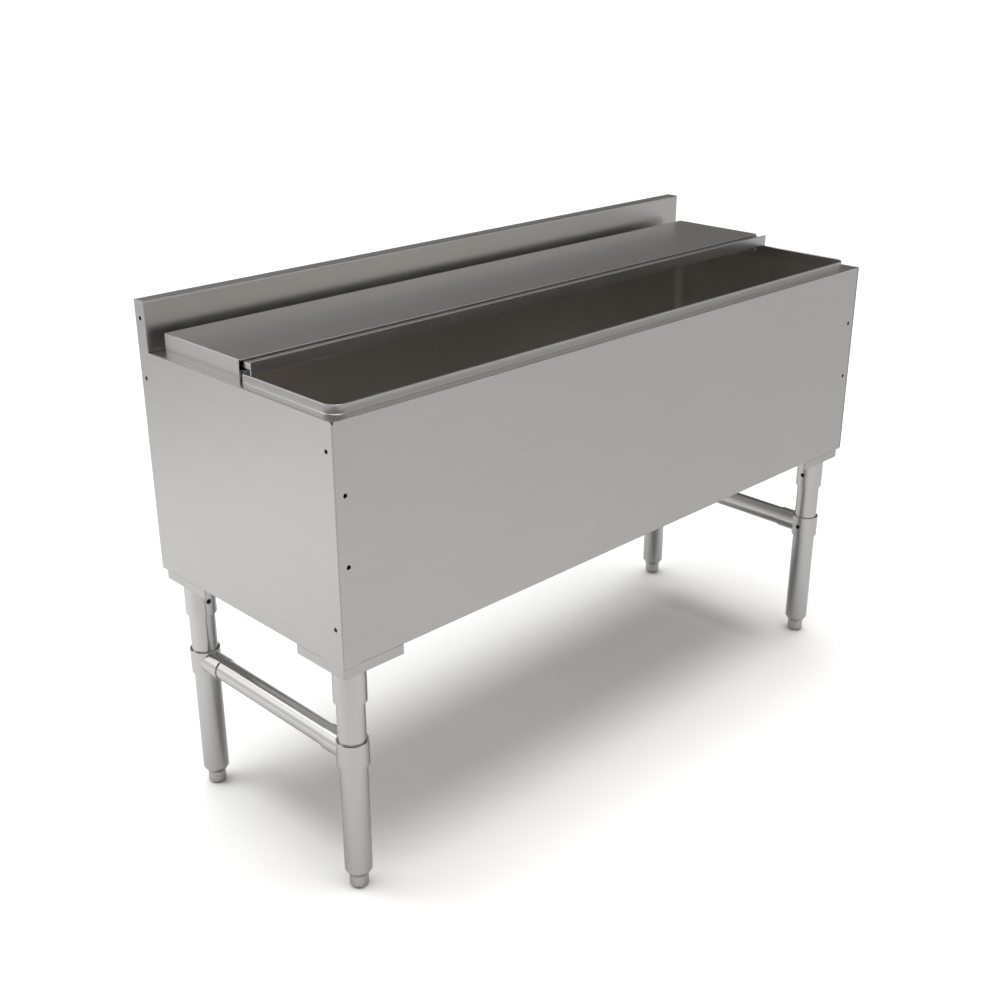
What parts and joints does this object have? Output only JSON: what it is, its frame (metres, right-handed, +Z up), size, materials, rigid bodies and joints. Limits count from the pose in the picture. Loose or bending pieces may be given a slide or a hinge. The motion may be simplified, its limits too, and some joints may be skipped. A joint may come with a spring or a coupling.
{
  "type": "underbar ice bin",
  "caption": "Stainless underbar ice bin on tubular legs, with insulated tub, raised rim, backsplash, fixed rear cover and a sliding cover that closes the front.",
  "frame": {"origin": "centre of the floor footprint, on the floor", "axes": "+X along the bin to the user's right, -Y is the working side, +Z up"},
  "size_m": [1.2192, 0.453, 0.8234],
  "materials": {
    "sheet_steel": "brushed stainless sheet",
    "tube_steel": "satin stainless tube",
    "fitting_steel": "turned stainless",
    "white_nylon": "white nylon",
    "foam": "rigid foam",
    "gasket_rubber": "black rubber"
  },
  "bodies": {
    "bin": {"back_panel": "sheet_steel", "backsplash": "sheet_steel", "bottom_pan": "sheet_steel", "collar_set_screws": "fitting_steel", "cross_rail_left": "tube_steel", "cross_rail_right": "tube_steel", "drain_body": "fitting_steel", "drain_gasket": "gasket_rubber", "drain_locknut": "fitting_steel", "drain_strainer": "fitting_steel", "foot_insert_left_front": "tube_steel", "foot_insert_left_rear": "tube_steel", "foot_insert_right_front": "tube_steel", "foot_insert_right_rear": "tube_steel", "front_panel": "sheet_steel", "gusset_left_front": "sheet_steel", "gusset_left_rear": "sheet_steel", "gusset_right_front": "sheet_steel", "gusset_right_rear": "sheet_steel", "ice_tub": "sheet_steel", "insulation": "foam", "left_side_panel": "sheet_steel", "left_track": "sheet_steel", "leg_socket_left_front": "tube_steel", "leg_socket_left_rear": "tube_steel", "leg_socket_right_front": "tube_steel", "leg_socket_right_rear": "tube_steel", "leg_tube_left_front": "tube_steel", "leg_tube_left_rear": "tube_steel", "leg_tube_right_front": "tube_steel", "leg_tube_right_rear": "tube_steel", "panel_weld_nuts": "fitting_steel", "rail_collar_left_front": "tube_steel", "rail_collar_left_rear": "tube_steel", "rail_collar_right_front": "tube_steel", "rail_collar_right_rear": "tube_steel", "rear_cover": "sheet_steel", "right_side_panel": "sheet_steel", "right_track": "sheet_steel", "socket_set_screws": "fitting_steel"},
    "cover": {"sliding_cover": "sheet_steel", "left_front_glide": "white_nylon", "left_rear_glide": "white_nylon", "right_front_glide": "white_nylon", "right_rear_glide": "white_nylon", "glide_screws": "fitting_steel"},
    "foot_left_front_body": {"foot_left_front": "tube_steel"},
    "foot_left_rear_body": {"foot_left_rear": "tube_steel"},
    "foot_right_front_body": {"foot_right_front": "tube_steel"},
    "foot_right_rear_body": {"foot_right_rear": "tube_steel"}
  },
  "joints": [
    {"name": "cover_slide", "type": "slide", "parent": "bin", "child": "cover", "axis": [0, -1, 0], "range_m": [0, 0.177]},
    {"name": "foot_screw_left_front", "type": "slide", "parent": "bin", "child": "foot_left_front_body", "axis": [0, 0, -1], "range_m": [0, 0.025]},
    {"name": "foot_screw_left_rear", "type": "slide", "parent": "bin", "child": "foot_left_rear_body", "axis": [0, 0, -1], "range_m": [0, 0.025]},
    {"name": "foot_screw_right_front", "type": "slide", "parent": "bin", "child": "foot_right_front_body", "axis": [0, 0, -1], "range_m": [0, 0.025]},
    {"name": "foot_screw_right_rear", "type": "slide", "parent": "bin", "child": "foot_right_rear_body", "axis": [0, 0, -1], "range_m": [0, 0.025]}
  ]
}
